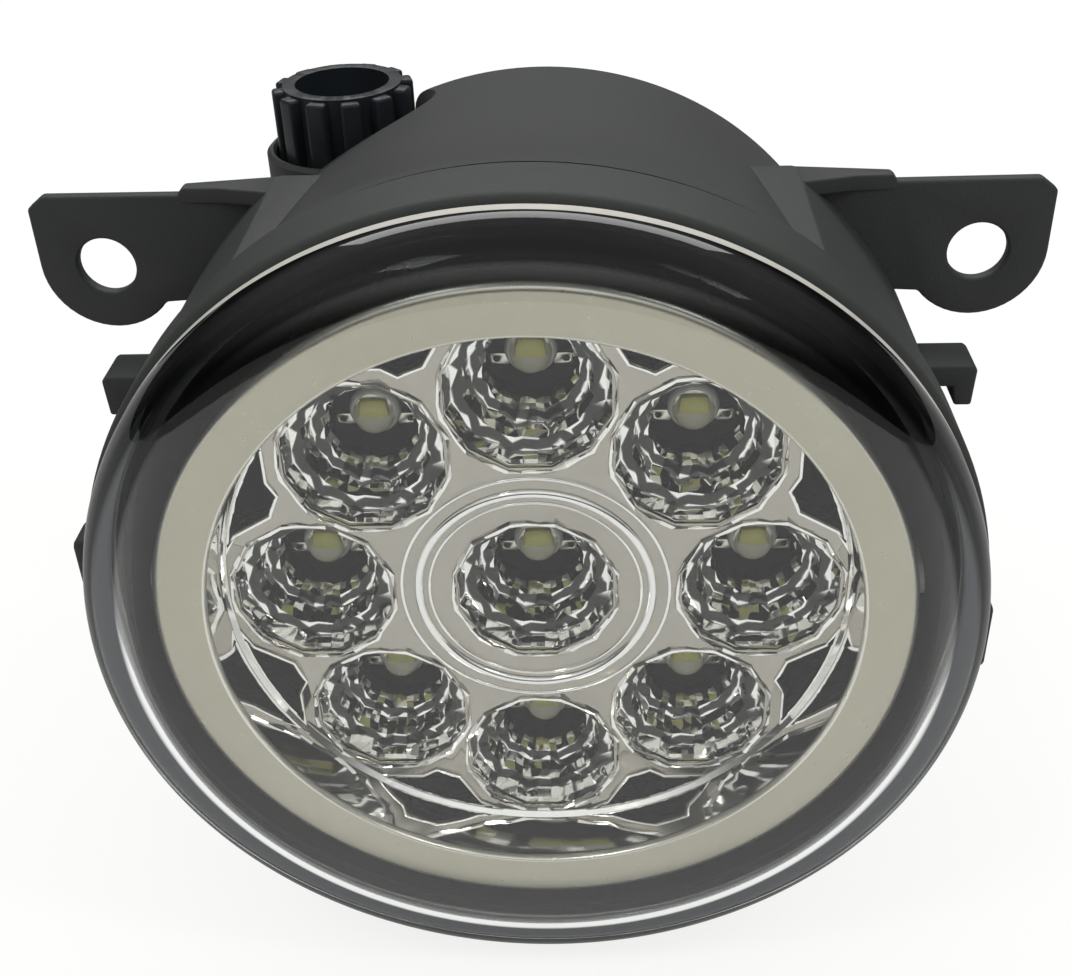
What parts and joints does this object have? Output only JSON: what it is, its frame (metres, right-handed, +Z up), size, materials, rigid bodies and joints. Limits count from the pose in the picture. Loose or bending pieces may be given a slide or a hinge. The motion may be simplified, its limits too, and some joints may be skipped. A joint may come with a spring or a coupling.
{
  "type": "fog light",
  "caption": "Round fog light with a clear cap lens, chromed multi-cup lamp reflector, two mounting ears, side hooks, aim adjuster knob and a rear power socket.",
  "frame": {"origin": "midway between the two ear holes, on the front faces of the mounting ears", "axes": "+Z up, the lens faces -Y and the socket +Y, +X to the right seen from the front"},
  "size_m": [0.111, 0.0834, 0.0912],
  "materials": {
    "housing_plastic": "moulded, fine texture",
    "knob_plastic": "moulded, semi-gloss",
    "clear_lens": "clear hard-coated polycarbonate",
    "seal_rubber": "soft black rubber",
    "thermal_pad": "grey silicone",
    "bush_plastic": "natural acetal",
    "zinc_steel": "zinc plated",
    "tinned_brass": "tin plated",
    "board": "solder resist",
    "board_dark": "black solder resist on an aluminium core",
    "coil": "ferrite",
    "can": "drawn can",
    "chip": "epoxy",
    "chrome": "vacuum metallised, mirror",
    "satin_silver": "satin silver",
    "led_body": "white ceramic",
    "phosphor": "yellow phosphor",
    "dome_clear": "clear silicone",
    "cast_aluminium": "die cast"
  },
  "bodies": {
    "housing_body": {"housing": "housing_plastic", "lens": "clear_lens", "lens_seal": "seal_rubber", "pivot_bushes": "bush_plastic", "adjuster_seal": "seal_rubber", "cover_gasket": "seal_rubber", "rear_cover": "housing_plastic", "cover_screws": "zinc_steel", "socket_blades": "tinned_brass", "driver_board": "board", "driver_coil": "coil", "driver_capacitor": "can", "driver_chip": "chip", "card_screws": "zinc_steel", "vent_cap": "knob_plastic"},
    "optic": {"reflector": "chrome", "trim_ring": "satin_silver", "led_board": "board_dark", "led_bodies": "led_body", "led_phosphors": "phosphor", "led_domes": "dome_clear", "led_leads": "tinned_brass", "thermal_pad": "thermal_pad", "heat_sink": "cast_aluminium", "board_screws": "zinc_steel", "pivot_pins": "zinc_steel"},
    "knob": {"adjuster_knob": "knob_plastic", "adjuster_screw": "zinc_steel", "adjuster_clip": "zinc_steel"},
    "nut": {"adjuster_nut": "bush_plastic"}
  },
  "joints": [
    {"name": "reflector_tilt", "type": "hinge", "parent": "housing_body", "child": "optic", "pos_m": [0, -0.0215, -0.026], "axis": [1, 0, 0], "range_deg": [-3.5, 3.5]},
    {"name": "knob_turn", "type": "hinge", "parent": "housing_body", "child": "knob", "pos_m": [-0.0228, 0.019, 0.01], "axis": [0, 0, 1], "range_deg": [-445.8, 445.8]},
    {"name": "nut_slide", "type": "slide", "parent": "housing_body", "child": "nut", "axis": [0, 0, 1], "range_m": [-0.00249, 0.00249]}
  ],
  "couplings": [
    {"joint": "knob_turn", "follows": "reflector_tilt", "ratio": -127.23},
    {"joint": "nut_slide", "follows": "reflector_tilt", "m_per_rad": 0.0405}
  ]
}
